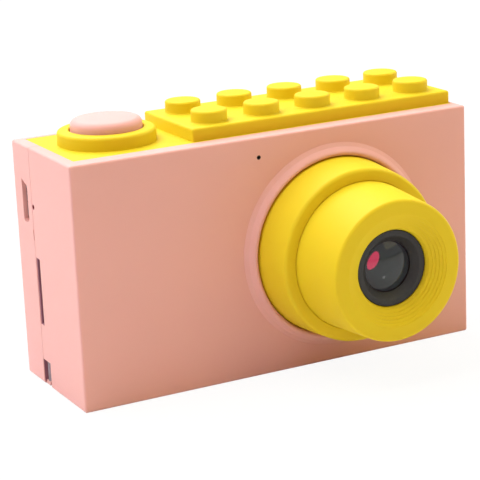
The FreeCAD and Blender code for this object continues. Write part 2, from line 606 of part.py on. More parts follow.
# ---------------------------------------------------------------- lens unit
def barrels():
    node(turned("lens_barrel_outer", LENS, "forward", [
        ("inner_room", "barrel_rear_at"), ("barrel_flange", "barrel_rear_at"),
        ("barrel_flange", "barrel_flange_at"), ("outer_base", "barrel_flange_at"),
        ("outer_base", "body_d / 2"), ("outer_front", "outer_at"), ("outer_bore", "outer_at"),
        ("outer_bore", "inner_flange_at + 0.1"), ("inner_room", "inner_flange_at + 0.1"),
    ], [("outer_round", "outer_front", "outer_at"), ("0.2", "outer_bore", "outer_at")]))
    steps = []
    for count in range(5):
        steps.append((f"lip_radius - {count} * step_wide", f"inner_at - {count} * step_deep"))
        steps.append((f"lip_radius - {count} * step_wide",
                      f"inner_at - {count} * step_deep - step_rise"))
    shell = turned("lens_barrel_inner_shell", LENS, "forward", [
        ("inner_bore", "barrel_rear_at"), ("inner_flange", "barrel_rear_at"),
        ("inner_flange", "inner_flange_at"), ("inner_base", "inner_flange_at"),
        ("inner_base", "outer_at"), ("inner_front", "inner_at"),
    ] + steps + [
        ("lip_radius - 5 * step_wide", "inner_at - 5 * step_deep"),
        ("funnel_radius", "funnel_at"), ("funnel_radius", "funnel_back_at"),
        ("inner_bore - 2.6", "funnel_back_at"), ("inner_bore", "funnel_back_at + 1.6"),
    ], [("inner_round", "inner_front", "inner_at")])
    posts = [rod(f"lens_post_{number}", "y", spot, ("-funnel_back_at - 1.1", "-sboard_at"), "post_radius")
             for number, spot in enumerate(SENSOR_SCREWS, 1)]
    pilots = [rod(f"lens_pilot_{number}", "y", spot, ("-sboard_at - sensor_shank", "0"),
                  "sensor_screw + fit_gap")
              for number, spot in enumerate(SENSOR_SCREWS, 1)]
    node(cut("lens_barrel_inner", fuse("lens_barrel_inner_blank", [shell] + posts), pilots))


def clamp_ring():
    span = ("-barrel_rear_at", "-clamp_at")
    ring = fuse("clamp_blank", [rod("clamp_disc", "y", ("lens_x", "lens_z"), span, "clamp_out")] + [
        rod(f"clamp_ear_{number}", "y", spot, span, "ear_radius") for number, spot in enumerate(EARS, 1)])
    holes = [rod(f"clamp_hole_{number}", "y", spot, ("-15", "0"), "ring_screw + pass_gap")
             for number, spot in enumerate(EARS, 1)]
    holes.append(rod("clamp_middle", "y", ("lens_x", "lens_z"), ("-15", "0"), "clamp_in"))
    node(cut("barrel_clamp_ring", ring, holes))
    screws("clamp_ring_screws", EARS, "-clamp_at", (1.5, 1.0), ("ring_screw", "ring_shank"))


def lens():
    middle = ("lens_x", "lens_z")
    node(turned("lens_housing", LENS, "forward", [
        ("lens_bore", "thread_rear_at"), ("thread_radius", "thread_rear_at"),
        ("thread_radius", "head_rear_at"), ("head_radius", "head_rear_at"),
        ("head_radius", "head_at - 0.12"), ("head_radius - 0.12", "head_at"),
        ("head_radius - 0.9", "head_at"), ("lens_bore", "glass_top_at - 0.55"),
        ("lens_bore", "glass_seat_at"), ("shelf_radius", "glass_seat_at"),
        ("shelf_radius", "shelf_rear_at"), ("lens_bore", "shelf_rear_at"),
    ]))
    ball = new("Part::Sphere", "front_lens_curve")
    ball.setExpression("Radius", "Dims.glass_curve")
    ball.setExpression("Placement.Base.x", "Dims.lens_x")
    ball.setExpression("Placement.Base.y", "-(Dims.glass_top_at - Dims.glass_curve)")
    ball.setExpression("Placement.Base.z", "Dims.lens_z")
    node(common("front_lens", rod("front_lens_blank", "y", middle,
                                  ("-glass_top_at - 1", "-glass_seat_at"), "glass_radius"), ball))
    node(turned("lens_aperture", LENS, "forward",
                tube("glass_radius", "stop_radius", "stop_rear_at", "shelf_rear_at")))
    node(rod("rear_lens", "y", middle, ("-rear_glass_at", "-rear_glass_rear_at"), "glass_radius"))


def square(label, half, front_at, rear_at):
    """A block centred on the lens axis, between two distances forward of the middle plane."""
    return box(label, (f"lens_x - ({half})", f"lens_x + {half}"), (f"-({front_at})", f"-({rear_at})"),
               (f"lens_z - ({half})", f"lens_z + {half}"))


def sensor():
    middle = ("lens_x", "lens_z")
    holder = fuse("lens_holder_blank", [
        square("lens_holder_base", "holder_half", "holder_base_at", "sboard_at"),
        rod("lens_holder_tube", "y", middle, ("-holder_at", "-holder_base_at + 0.5"), "holder_radius")])
    node(cut("lens_holder", holder, [
        rod("lens_holder_bore", "y", middle, ("-holder_at - 1", "-filter_at - 1.3"), "holder_bore"),
        square("lens_holder_light", "filter_half - 0.9", "filter_at + 2", "filter_at"),
        square("lens_holder_seat", "filter_half + 0.05", "filter_at + filter_thick + 0.1", "filter_at - 0.1"),
        square("lens_holder_room", "sensor_half + 0.8", "filter_at", "sboard_at - 1"),
    ]))
    node(square("ir_filter", "filter_half", "filter_at + filter_thick", "filter_at"))
    node(square("image_sensor", "sensor_half", "sboard_at + sensor_tall", "sboard_at"))
    disc = rod("sensor_board_disc", "y", middle, ("-sboard_at", "sboard_thick - sboard_at"), "sboard_radius")
    node(cut("sensor_board", disc, [
        rod(f"sensor_board_hole_{number}", "y", spot, ("-20", "0"), "sensor_screw + pass_gap")
        for number, spot in enumerate(SENSOR_SCREWS, 1)]))
    screws("sensor_board_screws", SENSOR_SCREWS, "sboard_thick - sboard_at", (1.35, 0.9),
           ("sensor_screw", "sensor_shank"))


def sensor_cable():
    """Flat cable from the sensor board past the battery to the front of the main board."""
    level = value("lens_z") - 4
    turns = [("lens_x", "sboard_thick - sboard_at"), ("lens_x", "-6"), ("link_left - 1.6", "-6"),
             ("link_left - 1.6", "board_front - 0.7"), ("link_left", "board_front - 0.7")]
    points = [Vector(value(x), value(y), level) for x, y in turns]
    node(ribbon("sensor_flex", points, Vector(0, 0, 8), 1.2))
    node(box("sensor_flex_connector", ("link_left", "link_right"),
             ("board_front - link_tall", "board_front"), ("link_low", "link_top")))


# ---------------------------------------------------------------- boards and sockets
def main_board():
    label = "main_board"
    plate = box(label + "_plate", ("board_left", "board_right"),
                ("board_front", "board_front + board_thick"), ("board_low", "board_top"))
    holes = [rod(f"{label}_hole_{number}", "y", spot, ("0", "12"), "board_screw + pass_gap")
             for number, spot in enumerate(BOARD_SCREWS, 1)]
    holes += [rod(f"{label}_bite_{number}", "y", spot, ("0", "12"), "case_tube + 0.3")
              for number, spot in enumerate(CASE_SCREWS, 1)]
    node(cut(label, plate, holes))
    screws("board_screws", BOARD_SCREWS, "board_front + board_thick", (1.9, 1.2),
           ("board_screw", "board_shank"))
    back = "board_front + board_thick"
    chips = [
        ("processor", 14, 22, 12, 12, 1.2), ("memory", 1, 24, 8, 6, 0.9),
        ("power_chip", 31, 22, 4, 4, 0.9), ("crystal", 14, 31.5, 3.2, 2.5, 0.8),
        ("inductor", 21.5, 32, 4, 4, 1.6),
    ]
    node(group("board_chips", [
        box(f"chip_{name}", (f"{x - w / 2}", f"{x + w / 2}"), (back, f"{back} + {tall}"),
            (f"{z - deep / 2}", f"{z + deep / 2}")) for name, x, z, w, deep, tall in chips]))


def usb_outline(inset):
    return [
        (f"usb_front + {inset}", "usb_low + 0.7"), ("usb_front + 0.8", f"usb_low + {inset}"),
        ("usb_back - 0.6", f"usb_low + {inset}"), (f"usb_back - {inset}", "usb_low + 0.6"),
        (f"usb_back - {inset}", f"usb_top - {inset} - 0.05"),
        (f"usb_back - 0.3 - {inset}", f"usb_top - {inset} - 0.1"),
        (f"usb_front + {inset}", f"usb_top - 1 - {inset}"),
    ]


def sockets():
    long = "usb_rear - (usb_mouth)"
    skin = padded("usb_skin", "YZ_Plane", usb_outline("usb_inset"), ("usb_mouth", "0", "0"), long)
    room = padded("usb_room", "YZ_Plane", usb_outline("(usb_inset + usb_skin)"),
                  ("usb_mouth - 1", "0", "0"), f"{long} + 0.6")
    legs = [box(f"usb_leg_{number}", (x, f"{x} + 1"),
                ("board_front + board_thick", "usb_front + usb_inset + 0.1"), ("31", "36"))
            for number, x in enumerate(("-37.4", "-35.6"), 1)]
    node(fuse("usb_connector_shell", [cut("usb_hollow", skin, [room])] + legs))
    node(box("usb_connector_tongue", ("usb_mouth + 0.8", "usb_rear - 0.4"),
             ("usb_back - 1.35", "usb_back - 0.75"), ("usb_low + 1.4", "usb_top - 1.8")))
    block = box("card_socket_block", ("board_left", "socket_right"),
                ("board_front - socket_tall", "board_front"), ("socket_low", "socket_top"))
    room = box("card_socket_room", ("board_left - 1", "socket_right - 1.4"),
               ("board_front - 1.35", "board_front - 0.5"), ("slot_low + 0.5", "slot_top - 0.6"))
    node(cut("card_socket", block, [room]))
    node(box("charge_light", ("board_left", "board_left + 1.6"), ("board_front - 1.1", "board_front"),
             ("light_z - 0.6", "light_z + 0.6")))


def microphone():
    inside = "wall - body_d / 2"
    back = f"{inside} + 0.05 + mic_long"
    node(rod("microphone", "y", ("mic_x", "mic_z"), (f"{inside} + 0.05", back), "mic_radius"))
    leads = []
    for number, x in enumerate(("mic_x - 0.7", "mic_x + 0.7"), 1):
        turns = [(back, "mic_z"), ("3", "mic_z"), ("3", "36.9"), ("board_front", "36.9")]
        points = [Vector(value(x), value(y), value(z)) for y, z in turns]
        leads.append(wire(f"microphone_lead_{number}", points, "mic_wire_radius", 1.0))
    node(group("microphone_leads", leads))


def battery():
    body = new("PartDesign::Body", "battery")
    pad = body.newObject("PartDesign::Pad", "battery_pad_feature")
    pad.Profile = outline(body, "XY_Plane", [
        ("cell_left", "cell_front"), ("cell_right", "cell_front"), ("cell_right", "cell_back"),
        ("cell_left", "cell_back")])
    pad.setExpression("Length", "Dims.cell_top - Dims.cell_low")
    soften(body, pad, "cell_round", lambda edge: edge.BoundBox.ZLength > 1)
    body.setExpression("Placement.Base.z", "Dims.cell_low")
    node(body)
    node(box("battery_pad", ("cell_left + 4", "cell_right - 4"), ("cell_back", "board_front"), ("10", "32")))
    node(box("battery_connector", ("plug_left", "plug_right"),
             ("board_front - plug_tall", "board_front"), ("plug_low", "plug_top")))
    leads = []
    for number, level in enumerate((30.0, 31.3), 1):
        turns = [("cell_left", "cell_front + 2.5"), ("plug_right + 1.75", "cell_front + 2.5"),
                 ("plug_right + 1.75", "board_front - 1.5"), ("plug_right", "board_front - 1.5")]
        points = [Vector(value(x), value(y), level) for x, y in turns]
        leads.append(wire(f"battery_lead_{number}", points, "wire_radius", 1.0))
    node(group("battery_leads", leads))


# ---------------------------------------------------------------- display, speaker and keys
def display():
    x = ("screen_x - screen_w / 2", "screen_x + screen_w / 2")
    z = ("screen_z - screen_tall / 2", "screen_z + screen_tall / 2")
    node(box("display_module", x, ("screen_front", "screen_back"), z))
    node(box("display_window",
             ("screen_x - window_w / 2 + window_gap", "screen_x + window_w / 2 - window_gap"),
             ("body_d / 2 - window_room", "body_d / 2 - window_room + window_thick"),
             (f"{z[0]} + window_gap", f"{z[1]} - window_gap")))
    back = "board_front + board_thick"
    node(group("display_pads", [
        box(f"display_pad_{number}", (left, f"{left} + 3"), (back, "screen_front"), ("12", "34"))
        for number, left in enumerate(("-7", "25"), 1)]))
    start = value(z[0])
    turns = [("screen_front + 0.5", start), ("screen_front + 0.5", 2.35), (f"{back} + 0.3", 2.35),
             (f"{back} + 0.3", 8.0)]
    points = [Vector(4, value(y), float(level)) for y, level in turns]
    node(ribbon("display_flex", points, Vector(10, 0, 0), 1.1))
    node(box("display_flex_connector", ("3.5", "14.5"), (back, f"{back} + 1.1"), ("8", "10.2")))


def speaker():
    node(box("speaker", ("speaker_left", "speaker_right"), ("speaker_front", "speaker_back"),
             ("speaker_low", "speaker_top")))
    node(group("speaker_contacts", [
        box(f"speaker_contact_{number}", (x, f"{x} + 1.2"), ("board_front + board_thick", "speaker_front"),
            ("9", "10.4")) for number, x in enumerate(("-26.5", "-21"), 1)]))


def keys():
    back = "board_front + board_thick"
    half = "keyswitch_w / 2"
    cases = []
    for name, (x, z) in key_spots().items():
        flange_front = "key_flange_back - key_flange_thick"
        top = "body_d / 2 + key_stand"
        node(turned(name, (x, "0", z), "y", [
            ("0", "key_stem_low"), ("key_stem", "key_stem_low"), ("key_stem", flange_front),
            ("key_flange", flange_front), ("key_flange", "key_flange_back"),
            ("key_radius", "key_flange_back"), ("key_radius", top), ("0", top),
        ], [("key_round", "key_radius", top)]))
        node(rod(name + "_plunger", "y", (x, z), ("key_plunger_low", "key_stem_low"), "key_plunger"))
        block = box(name + "_switch_block", (f"{x} - {half}", f"{x} + {half}"),
                    (back, f"{back} + keyswitch_tall"), (f"{z} - {half}", f"{z} + {half}"))
        cases.append(cut(name + "_switch", block, [
            rod(name + "_switch_bore", "y", (x, z), (f"{back} + 0.5", f"{back} + 3"), "key_plunger_bore")]))
    node(group("key_switch_bodies", cases))


# ---------------------------------------------------------------- build, check and write
form = case_form()
front_shell(form)
rear_shell(form)
top_panel()
case_hardware()
shutter()
barrels()
clamp_ring()
lens()
sensor()
sensor_cable()
main_board()
sockets()
microphone()
battery()
display()
speaker()
keys()
doc.recompute()

for obj in doc.Objects:
    bad = [state for state in obj.State if state in ("Invalid", "Error")]
    if bad:
        raise RuntimeError(f"{obj.Label} did not compute: {bad}")
for obj in nodes:
    if obj.Shape.isNull() or not obj.Shape.isValid() or not obj.Shape.Solids:
        raise RuntimeError(f"{obj.Label} has no valid solid")

os.makedirs("parts", exist_ok=True)
for obj in nodes:
    obj.Shape.exportStep(f"parts/{obj.Label}.step")
print(len(nodes), "sub-parts written")
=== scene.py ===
import json
import math

import bmesh
import bpy
from mathutils import Matrix, Quaternion, Vector


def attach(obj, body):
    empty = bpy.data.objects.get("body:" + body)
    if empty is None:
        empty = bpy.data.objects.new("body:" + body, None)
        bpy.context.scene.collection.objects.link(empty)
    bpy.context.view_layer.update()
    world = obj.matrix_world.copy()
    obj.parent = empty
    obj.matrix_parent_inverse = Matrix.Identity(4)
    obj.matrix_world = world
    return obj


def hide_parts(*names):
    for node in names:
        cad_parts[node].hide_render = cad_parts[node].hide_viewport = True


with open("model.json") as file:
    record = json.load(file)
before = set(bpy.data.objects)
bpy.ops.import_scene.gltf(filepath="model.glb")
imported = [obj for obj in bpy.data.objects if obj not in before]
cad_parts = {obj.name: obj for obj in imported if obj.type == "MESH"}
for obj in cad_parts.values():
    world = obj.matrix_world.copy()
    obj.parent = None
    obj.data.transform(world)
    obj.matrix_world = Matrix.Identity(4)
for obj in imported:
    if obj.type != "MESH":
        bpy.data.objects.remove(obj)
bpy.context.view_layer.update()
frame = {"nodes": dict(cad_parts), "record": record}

MM = 0.001
NODES = frame["nodes"]
scene = bpy.context.scene

# Key places of the object in millimetres, in the row frame.
LENS_X, LENS_Z = 11.3, 22.1
LEFT = -40.0
TOP = 44.2
SHUTTER = (-26.5, 1.2)


# ---------------------------------------------------------------- mesh helpers
def arc_corner(before, corner, after, radius, count=6):
    """Points of an arc of a radius that rounds a corner of a flat outline."""
    before, corner, after = Vector(before), Vector(corner), Vector(after)
    back = (before - corner).normalized()
    ahead = (after - corner).normalized()
    half = back.angle(ahead) / 2
    reach = min(radius / math.tan(half), (before - corner).length * 0.49, (after - corner).length * 0.49)
    radius = reach * math.tan(half)
    centre = corner + (back + ahead).normalized() * (radius / math.sin(half))
    start = corner + back * reach - centre
    end = corner + ahead * reach - centre
    turn = start.angle_signed(end)
    points = []
    for step in range(count + 1):
        angle = -turn * step / count
        points.append(centre + Matrix.Rotation(angle, 2) @ start)
    return points


def rounded(points):
    """An open outline of (radius, along, rounding) with its inner corners rounded."""
    path = [Vector(points[0][:2])]
    for index in range(1, len(points) - 1):
        size = points[index][2] if len(points[index]) > 2 else 0
        if size:
            path += arc_corner(points[index - 1][:2], points[index][:2], points[index + 1][:2], size)
        else:
            path.append(Vector(points[index][:2]))
    path.append(Vector(points[-1][:2]))
    return path


def finish_mesh(name, mesh_data, matrix=None, sharp=35):
    mesh = bpy.data.meshes.new(name)
    mesh_data.to_mesh(mesh)
    mesh_data.free()
    if matrix is not None:
        mesh.transform(matrix)
    mesh.transform(Matrix.Scale(MM, 4))
    mesh.shade_smooth()
    mesh.set_sharp_from_angle(angle=math.radians(sharp))
    obj = bpy.data.objects.new(name, mesh)
    scene.collection.objects.link(obj)
    return obj


def lathe(name, profile, matrix, around=192, closed=True, sharp=35):
    """A turned form: profile points are (radius, along) and turn about the local Z axis."""
    path = rounded(profile)
    made = bmesh.new()
    rings = []
    for point in path:
        if abs(point.x) < 1e-7:
            rings.append([made.verts.new((0, 0, point.y))])
            continue
        rings.append([made.verts.new((point.x * math.cos(2 * math.pi * k / around),
                                      point.x * math.sin(2 * math.pi * k / around), point.y))
                      for k in range(around)])
    pairs = list(zip(rings, rings[1:]))
    if closed:
        pairs.append((rings[-1], rings[0]))
    for low, high in pairs:
        for k in range(around):
            nxt = (k + 1) % around
            if len(low) == 1 and len(high) == 1:
                break
            if len(low) == 1:
                made.faces.new((low[0], high[nxt], high[k]))
            elif len(high) == 1:
                made.faces.new((low[k], low[nxt], high[0]))
            else:
                made.faces.new((low[k], low[nxt], high[nxt], high[k]))
    bmesh.ops.recalc_face_normals(made, faces=made.faces)
    return finish_mesh(name, made, matrix, sharp)


def block(name, low, high, rounding, segments=4, edges=None):
    """A box with rounded edges; edges picks which ones by their middle point."""
    made = bmesh.new()
    bmesh.ops.create_cube(made, size=1)
    low, high = Vector(low), Vector(high)
    for vert in made.verts:
        vert.co = Vector([low[i] if vert.co[i] < 0 else high[i] for i in range(3)])
    chosen = [e for e in made.edges if edges is None or edges((e.verts[0].co + e.verts[1].co) / 2)]
    bmesh.ops.bevel(made, geom=chosen, offset=rounding, segments=segments, profile=0.5, affect="EDGES")
    return finish_mesh(name, made)


def forward(x=LENS_X, z=LENS_Z):
    """Places a turned form so that its along values run forward, towards -Y."""
    return Matrix.Translation((x, 0, z)) @ Matrix.Rotation(math.radians(90), 4, "X")


def backward(x, z):
    return Matrix.Translation((x, 0, z)) @ Matrix.Rotation(math.radians(-90), 4, "X")


def join(name, parts):
    """Joins separate closed forms into one piece."""
    if len(parts) > 1:
        bpy.ops.object.select_all(action="DESELECT")
        for part in parts:
            part.select_set(True)
        bpy.context.view_layer.objects.active = parts[0]
        bpy.ops.object.join()
    parts[0].name = name
    return parts[0]


def carve(target, tools):
    """Cuts tools out of a piece and removes them."""
    for tool in tools:
        modifier = target.modifiers.new("cut", "BOOLEAN")
        modifier.operation = "DIFFERENCE"
        modifier.solver = "EXACT"
        modifier.object = tool
        bpy.context.view_layer.objects.active = target
        bpy.ops.object.modifier_apply(modifier=modifier.name)
        bpy.data.objects.remove(tool)
    target.data.shade_smooth()
    target.data.set_sharp_from_angle(angle=math.radians(30))


# ---------------------------------------------------------------- materials
def new_material(name):
    material = bpy.data.materials.new(name)
    material.use_nodes = True
    tree = material.node_tree
    tree.nodes.clear()
    out = tree.nodes.new("ShaderNodeOutputMaterial")
    shader = tree.nodes.new("ShaderNodeBsdfPrincipled")
    tree.links.new(shader.outputs[0], out.inputs[0])
    return material, tree, shader


def noise(tree, scale, detail=3.0, rough=0.5, stretch=None):
    """Noise in the object's own metres; scale is in cells per metre."""
    place = tree.nodes.new("ShaderNodeTexCoord")
    texture = tree.nodes.new("ShaderNodeTexNoise")
    texture.inputs["Scale"].default_value = scale
    texture.inputs["Detail"].default_value = detail
    texture.inputs["Roughness"].default_value = rough
    source = place.outputs["Object"]
    if stretch:
        mapping = tree.nodes.new("ShaderNodeMapping")
        mapping.inputs["Scale"].default_value = stretch
        tree.links.new(source, mapping.inputs["Vector"])
        source = mapping.outputs["Vector"]
    tree.links.new(source, texture.inputs["Vector"])
    return texture.outputs["Fac"]


def spread(tree, value, low, high):
    """Maps a noise value's middle range onto low..high."""
    ranged = tree.nodes.new("ShaderNodeMapRange")
    ranged.inputs["From Min"].default_value = 0.3
    ranged.inputs["From Max"].default_value = 0.7
    ranged.inputs["To Min"].default_value = low
    ranged.inputs["To Max"].default_value = high
    tree.links.new(value, ranged.inputs["Value"])
    return ranged.outputs["Result"]


def tint(tree, value, first, second):
    mix = tree.nodes.new("ShaderNodeMix")
    mix.data_type = "RGBA"
    tree.links.new(value, mix.inputs[0])
    mix.inputs[6].default_value = (*first, 1)
    mix.inputs[7].default_value = (*second, 1)
    return mix.outputs[2]


def bumps(tree, shader, layers):
    """Stacks bump layers of (value, height in metres, strength) on the shader's normal."""
    normal = None
    for value, height, strength in layers:
        bump = tree.nodes.new("ShaderNodeBump")
        bump.inputs["Strength"].default_value = strength
        bump.inputs["Distance"].default_value = height
        tree.links.new(value, bump.inputs["Height"])
        if normal is not None:
            tree.links.new(normal, bump.inputs["Normal"])
        normal = bump.outputs["Normal"]
    tree.links.new(normal, shader.inputs["Normal"])


def moulded(name, colour, deeper, shine, rough=(0.5, 0.62), soft=0.1, grain=0.000012):
    """Matte moulded plastic: slight colour drift, uneven gloss, spark-eroded grain."""
    material, tree, shader = new_material(name)
    drift = spread(tree, noise(tree, 60, 2.0), 0.0, 1.0)
    tree.links.new(tint(tree, drift, colour, deeper), shader.inputs["Base Color"])
    tree.links.new(spread(tree, noise(tree, 2600, 4.0), *rough), shader.inputs["Roughness"])
    shader.inputs["IOR"].default_value = 1.46
    shader.inputs["Specular IOR Level"].default_value = shine
    shader.inputs["Subsurface Weight"].default_value = soft
    shader.inputs["Subsurface Radius"].default_value = (1.0, 0.45, 0.3)
    shader.inputs["Subsurface Scale"].default_value = 0.0012
    bumps(tree, shader, [(noise(tree, 5200, 3.0), grain, 0.55), (noise(tree, 220, 2.0), 0.00003, 0.12)])
    return material


def dark_plastic(name, colour, rough=(0.25, 0.4), grain=0.000006):
    material, tree, shader = new_material(name)
    drift = spread(tree, noise(tree, 150, 2.0), 0.0, 1.0)
    lighter = tuple(min(1.0, c * 1.35 + 0.004) for c in colour)
    tree.links.new(tint(tree, drift, colour, lighter), shader.inputs["Base Color"])
    tree.links.new(spread(tree, noise(tree, 1800, 3.0), *rough), shader.inputs["Roughness"])
    bumps(tree, shader, [(noise(tree, 6000, 2.0), grain, 0.4)])
    return material


def metal(name, colour, rough=(0.22, 0.38), stretch=(1, 1, 1)):
    material, tree, shader = new_material(name)
    shader.inputs["Metallic"].default_value = 1.0
    streak = noise(tree, 900, 4.0, 0.6, stretch)
    darker = tuple(c * 0.78 for c in colour)
    tree.links.new(tint(tree, spread(tree, streak, 0, 1), colour, darker), shader.inputs["Base Color"])
    tree.links.new(spread(tree, streak, *rough), shader.inputs["Roughness"])
    bumps(tree, shader, [(streak, 0.000004, 0.5)])
    return material


def board_material():
    """Green solder mask with faint copper tracks under it."""
    material, tree, shader = new_material("board_mask")
    place = tree.nodes.new("ShaderNodeTexCoord")
    brick = tree.nodes.new("ShaderNodeTexBrick")
    brick.inputs["Scale"].default_value = 320
    brick.inputs["Mortar Size"].default_value = 0.09
    brick.inputs["Color1"].default_value = (0.012, 0.12, 0.05, 1)
    brick.inputs["Color2"].default_value = (0.016, 0.15, 0.07, 1)
    brick.inputs["Mortar"].default_value = (0.05, 0.26, 0.11, 1)
    turn = tree.nodes.new("ShaderNodeMapping")
    turn.inputs["Rotation"].default_value = (math.radians(90), 0, 0)
    tree.links.new(place.outputs["Object"], turn.inputs["Vector"])
    tree.links.new(turn.outputs["Vector"], brick.inputs["Vector"])
    tree.links.new(brick.outputs["Color"], shader.inputs["Base Color"])
    tree.links.new(spread(tree, noise(tree, 900), 0.25, 0.4), shader.inputs["Roughness"])
    bumps(tree, shader, [(brick.outputs["Fac"], 0.00002, 0.5)])
    return material


def foam_material():
    material, tree, shader = new_material("foam_black")
    cells = tree.nodes.new("ShaderNodeTexVoronoi")
    cells.inputs["Scale"].default_value = 2600
    place = tree.nodes.new("ShaderNodeTexCoord")
    tree.links.new(place.outputs["Object"], cells.inputs["Vector"])
    tree.links.new(tint(tree, cells.outputs["Distance"], (0.02, 0.02, 0.02), (0.06, 0.06, 0.06)),
                   shader.inputs["Base Color"])
    tree.links.new(spread(tree, noise(tree, 800), 0.8, 0.95), shader.inputs["Roughness"])
    bumps(tree, shader, [(cells.outputs["Distance"], 0.0002, 0.8)])
    return material


def glass_material(name, colour, clear=1.0):
    """Lens glass with faint smears; with a low clear weight it is mostly opaque, and its base colour is then
    a painted reflection.
    """
    material, tree, shader = new_material(name)
    smear = noise(tree, 380, 4.0, 0.6)
    tree.links.new(tint(tree, spread(tree, smear, 0, 1), colour, tuple(c * 0.94 for c in colour)),
                   shader.inputs["Base Color"])
    tree.links.new(spread(tree, smear, 0.015, 0.06), shader.inputs["Roughness"])
    shader.inputs["Transmission Weight"].default_value = clear
    shader.inputs["IOR"].default_value = 1.52
    shader.inputs["Specular IOR Level"].default_value = 0.3
    bumps(tree, shader, [(smear, 0.000002, 0.2)])
    return material


def inside_span(tree, value, low, high):
    """1 where a value lies between low and high, else 0."""
    results = []
    for kind, limit in (("GREATER_THAN", low), ("LESS_THAN", high)):
        test = tree.nodes.new("ShaderNodeMath")
        test.operation = kind
        test.inputs[1].default_value = limit
        tree.links.new(value, test.inputs[0])
        results.append(test.outputs[0])
    both = tree.nodes.new("ShaderNodeMath")
    both.operation = "MULTIPLY"
    tree.links.new(results[0], both.inputs[0])
    tree.links.new(results[1], both.inputs[1])
    return both.outputs[0]


def window_material():
    """Clear cover over the display: black printed border round a slightly lighter active area."""
    material, tree, shader = new_material("window_black")
    place = tree.nodes.new("ShaderNodeTexCoord")
    parts = tree.nodes.new("ShaderNodeSeparateXYZ")
    tree.links.new(place.outputs["Object"], parts.inputs[0])
    across = inside_span(tree, parts.outputs["X"], -0.0102, 0.0282)
    up = inside_span(tree, parts.outputs["Z"], 0.0077, 0.0365)
    active = tree.nodes.new("ShaderNodeMath")
    active.operation = "MULTIPLY"
    tree.links.new(across, active.inputs[0])
    tree.links.new(up, active.inputs[1])
    tree.links.new(tint(tree, active.outputs[0], (0.006, 0.006, 0.007), (0.022, 0.025, 0.03)),
                   shader.inputs["Base Color"])
    smear = noise(tree, 160, 4.0, 0.6)
    tree.links.new(spread(tree, smear, 0.05, 0.11), shader.inputs["Roughness"])
    bumps(tree, shader, [(smear, 0.000002, 0.15)])
    return material


PINK = (0.800, 0.434, 0.389)
YELLOW = (0.762, 0.582, 0.0195)
MATERIALS = {
    "pink_plastic": moulded("pink_moulded", PINK, tuple(c * 0.975 for c in PINK), 0.25),
    "yellow_plastic": moulded("yellow_moulded", YELLOW, tuple(c * 0.975 for c in YELLOW), 0.15),
    "black_plastic": dark_plastic("black_moulded", (0.0055, 0.0055, 0.0065), (0.5, 0.62)),
    # The front glass is mostly opaque: its dark grey base colour is a painted reflection.
    "lens_glass": glass_material("glass_painted_reflection", (0.018, 0.045, 0.046), 0.06),
    "filter_glass": glass_material("filter_glass", (0.9, 0.3, 0.4)),
    "window": window_material(),
    "steel": metal("zinc_steel", (0.62, 0.62, 0.63)),
    "board": board_material(),
    "chip": dark_plastic("chip_black", (0.02, 0.02, 0.022), (0.45, 0.6)),
    "flex": dark_plastic("flex_amber", (0.42, 0.16, 0.03), (0.3, 0.42)),
    "foil": metal("cell_foil", (0.7, 0.71, 0.73), (0.35, 0.5)),
    "foam": foam_material(),
    "lead": dark_plastic("lead_red", (0.4, 0.02, 0.02), (0.35, 0.5)),
    "contact": metal("gold_contact", (0.85, 0.62, 0.2)),
    "light": dark_plastic("light_red", (0.08, 0.004, 0.004), (0.45, 0.6)),
}


def paint(obj, material):
    obj.data.materials.clear()
    obj.data.materials.append(material)


def piece(obj, body, slot, nodes=(), material=None):
    """Finishes a piece: its material (the given one, else the slot's), its body, and the nodes it stands for,
    which it hides.
    """
    paint(obj, material or MATERIALS[slot])
    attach(obj, body)
    if nodes:
        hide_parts(*nodes)
    return obj


FINISH_AND_SHADE = {
    "microphone": dark_plastic("mic_felt", (0.02, 0.012, 0.016), (0.8, 0.95), 0.00004),
    # The strap pin's steel is darker and pinker than the other steel: painted shade and painted pink bounce
    # light of the notch round it.
    "strap_pin": metal("strap_steel_shaded", (0.30, 0.25, 0.27), (0.45, 0.6)),
}

# Painted shade colour for the wall of the light's hole.
LIGHT_HOLE_SHADE = dark_plastic("light_hole_shade_red", (0.20, 0.022, 0.024), (0.5, 0.65))
MARK = moulded("mark_rose", (0.52, 0.20, 0.19), (0.47, 0.17, 0.16), 0.25)
# Painted shade colour for the card socket's mouth and the strap notch's walls.
OPENING_SHADE = dark_plastic("mouth_shade", (0.27, 0.115, 0.15), (0.7, 0.85))

for part in frame["record"]["subparts"]:
    paint(NODES[part["node"]], FINISH_AND_SHADE.get(part["node"], MATERIALS[part["material_slot"]]))
    NODES[part["node"]].data.shade_smooth()
    NODES[part["node"]].data.set_sharp_from_angle(angle=math.radians(32))


# ---------------------------------------------------------------- top panel
SEAT_BORE, SEAT_TOP = 7.9, 45.0
COLLAR_BORE, COLLAR_RADIUS, COLLAR_FOOT = 6.68, 8.85, TOP - 0.2
PLATE_TOP = TOP + 2.36
STUD_PITCH, STUD_RADIUS, STUD_TALL = 10.63, 3.28, 2.18
FIRST_STUD = (-9.07, -4.83)


